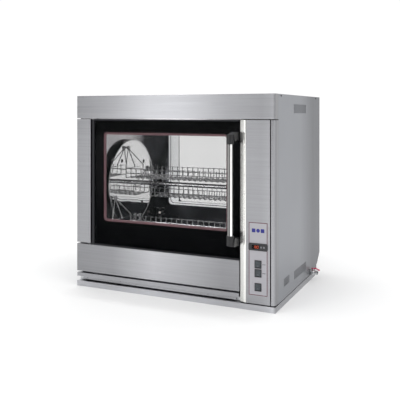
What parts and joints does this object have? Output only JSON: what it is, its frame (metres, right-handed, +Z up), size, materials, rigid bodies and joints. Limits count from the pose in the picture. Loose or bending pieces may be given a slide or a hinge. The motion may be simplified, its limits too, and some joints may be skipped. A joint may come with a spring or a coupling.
{
  "type": "rotisserie oven",
  "caption": "Countertop rotisserie oven with a side-hinged glass door, a rotor that carries level wire baskets, a drip drawer and a control column.",
  "frame": {"origin": "centre of the cabinet's footprint on the underside of the base plate", "axes": "+X to the control column's side, +Y to the rear, +Z up"},
  "size_m": [0.8478, 0.6645, 0.74],
  "materials": {
    "satin_steel": "satin brushed",
    "side_steel": "satin brushed",
    "bright_trim": "polished",
    "label_face": "silver print with a dark red outline",
    "black_plastic": "fine grain",
    "rocker_plastic": "semi-gloss",
    "key_plastic": "soft touch",
    "cavity_steel": "heat-dulled satin",
    "clear_glass": "clear tempered",
    "black_enamel": "fired black print",
    "mineral_wool": "fibrous",
    "zinc_steel": "zinc plated",
    "pin_steel": "turned",
    "bearing_bronze": "sintered bronze",
    "motor_paint": "semi-matt enamel",
    "heater_sheath": "heat-oxidised",
    "lamp_metal": "polished",
    "circuit_board": "solder mask",
    "pipe_steel": "drawn tube",
    "lever_red": "red vinyl dip",
    "dark_frame": "dark anodised",
    "red_silicone": "satin silicone",
    "black_rubber": "matt",
    "chrome_tube": "polished",
    "bracket_plastic": "fine grain",
    "tray_steel": "satin",
    "polished_steel": "mirror polished",
    "gear_steel": "machined, oiled",
    "wire_chrome": "chromed wire"
  },
  "bodies": {
    "cabinet": {"base_plate": "satin_steel", "left_side_panel": "side_steel", "right_side_panel": "side_steel", "top_panel": "side_steel", "rear_panel": "side_steel", "rear_cover": "side_steel", "header_panel": "satin_steel", "left_stile": "satin_steel", "lower_front_panel": "satin_steel", "column_trim": "bright_trim", "column_fascia": "satin_steel", "corner_strip": "satin_steel", "label_panel": "label_face", "rocker_frames": "black_plastic", "controller_housing": "black_plastic", "cavity_liner": "cavity_steel", "front_frame": "cavity_steel", "rear_glass": "clear_glass", "insulation_blanket": "mineral_wool", "drawer_runners": "zinc_steel", "hinge_brackets": "zinc_steel", "hinge_pins": "pin_steel", "shaft_bearings": "bearing_bronze", "gear_motor": "motor_paint", "upper_heaters": "heater_sheath", "lamp_housing": "lamp_metal", "fan_frame": "black_plastic", "control_board": "circuit_board", "cable_gland": "black_plastic", "drain_pipe": "pipe_steel", "valve_body": "pipe_steel", "panel_screws": "zinc_steel"},
    "door": {"door_frame": "dark_frame", "door_hinge_stile": "dark_frame", "door_outer_glass": "clear_glass", "glass_border": "black_enamel", "door_glass_seal": "red_silicone", "door_inner_glass": "clear_glass", "door_gasket": "black_rubber", "handle_tube": "chrome_tube", "handle_brackets": "bracket_plastic"},
    "drawer": {"drip_tray": "tray_steel", "drawer_front": "satin_steel"},
    "rotor": {"rotor_shaft": "pin_steel", "left_rotor_disc": "polished_steel", "right_rotor_disc": "polished_steel", "carrier_pins": "pin_steel", "drive_gear": "gear_steel"},
    "basket_1": {"basket_1": "wire_chrome"},
    "basket_2": {"basket_2": "wire_chrome"},
    "basket_3": {"basket_3": "wire_chrome"},
    "basket_4": {"basket_4": "wire_chrome"},
    "pinion": {"motor_pinion": "gear_steel"},
    "fan": {"fan_wheel": "black_plastic"},
    "rocker_1": {"rocker_1": "rocker_plastic"},
    "rocker_2": {"rocker_2": "rocker_plastic"},
    "rocker_3": {"rocker_3": "rocker_plastic"},
    "key_up": {"key_up": "key_plastic"},
    "key_down": {"key_down": "key_plastic"},
    "valve_lever": {"valve_lever": "lever_red"}
  },
  "joints": [
    {"name": "door_swing", "type": "hinge", "parent": "cabinet", "child": "door", "pos_m": [-0.331, -0.298, 0.40825], "axis": [0, 0, -1], "range_deg": [0, 110]},
    {"name": "drawer_slide", "type": "slide", "parent": "cabinet", "child": "drawer", "axis": [0, -1, 0], "range_m": [0, 0.36]},
    {"name": "rotor_spin", "type": "hinge", "parent": "cabinet", "child": "rotor", "pos_m": [0, -0.045, 0.382], "axis": [1, 0, 0], "continuous": true},
    {"name": "basket_1_swing", "type": "hinge", "parent": "rotor", "child": "basket_1", "pos_m": [-0.025, 0.10241, 0.4299], "axis": [1, 0, 0], "continuous": true},
    {"name": "basket_2_swing", "type": "hinge", "parent": "rotor", "child": "basket_2", "pos_m": [-0.025, -0.0929, 0.52941], "axis": [1, 0, 0], "continuous": true},
    {"name": "basket_3_swing", "type": "hinge", "parent": "rotor", "child": "basket_3", "pos_m": [-0.025, -0.19241, 0.3341], "axis": [1, 0, 0], "continuous": true},
    {"name": "basket_4_swing", "type": "hinge", "parent": "rotor", "child": "basket_4", "pos_m": [-0.025, 0.0029, 0.23459], "axis": [1, 0, 0], "continuous": true},
    {"name": "pinion_spin", "type": "hinge", "parent": "cabinet", "child": "pinion", "pos_m": [0.302, -0.045, 0.3177], "axis": [1, 0, 0], "continuous": true},
    {"name": "fan_spin", "type": "hinge", "parent": "cabinet", "child": "fan", "pos_m": [0.3455, 0.2355, 0.17], "axis": [0, 1, 0], "continuous": true},
    {"name": "rocker_1_tilt", "type": "hinge", "parent": "cabinet", "child": "rocker_1", "pos_m": [0.343, -0.302, 0.1595], "axis": [1, 0, 0], "range_deg": [0, 14]},
    {"name": "rocker_2_tilt", "type": "hinge", "parent": "cabinet", "child": "rocker_2", "pos_m": [0.343, -0.302, 0.1295], "axis": [1, 0, 0], "range_deg": [0, 14]},
    {"name": "rocker_3_tilt", "type": "hinge", "parent": "cabinet", "child": "rocker_3", "pos_m": [0.343, -0.302, 0.082], "axis": [1, 0, 0], "range_deg": [0, 14]},
    {"name": "key_up_press", "type": "slide", "parent": "cabinet", "child": "key_up", "axis": [0, 1, 0], "range_m": [0, 0.0012], "stiffness_N_per_m": 250},
    {"name": "key_down_press", "type": "slide", "parent": "cabinet", "child": "key_down", "axis": [0, 1, 0], "range_m": [0, 0.0012], "stiffness_N_per_m": 250},
    {"name": "valve_turn", "type": "hinge", "parent": "cabinet", "child": "valve_lever", "pos_m": [0.416, 0.152, 0.047], "axis": [0, 0, -1], "range_deg": [0, 90]}
  ],
  "couplings": [
    {"joint": "basket_1_swing", "follows": "rotor_spin", "ratio": -1},
    {"joint": "basket_2_swing", "follows": "rotor_spin", "ratio": -1},
    {"joint": "basket_3_swing", "follows": "rotor_spin", "ratio": -1},
    {"joint": "basket_4_swing", "follows": "rotor_spin", "ratio": -1},
    {"joint": "pinion_spin", "follows": "rotor_spin", "ratio": -3}
  ]
}
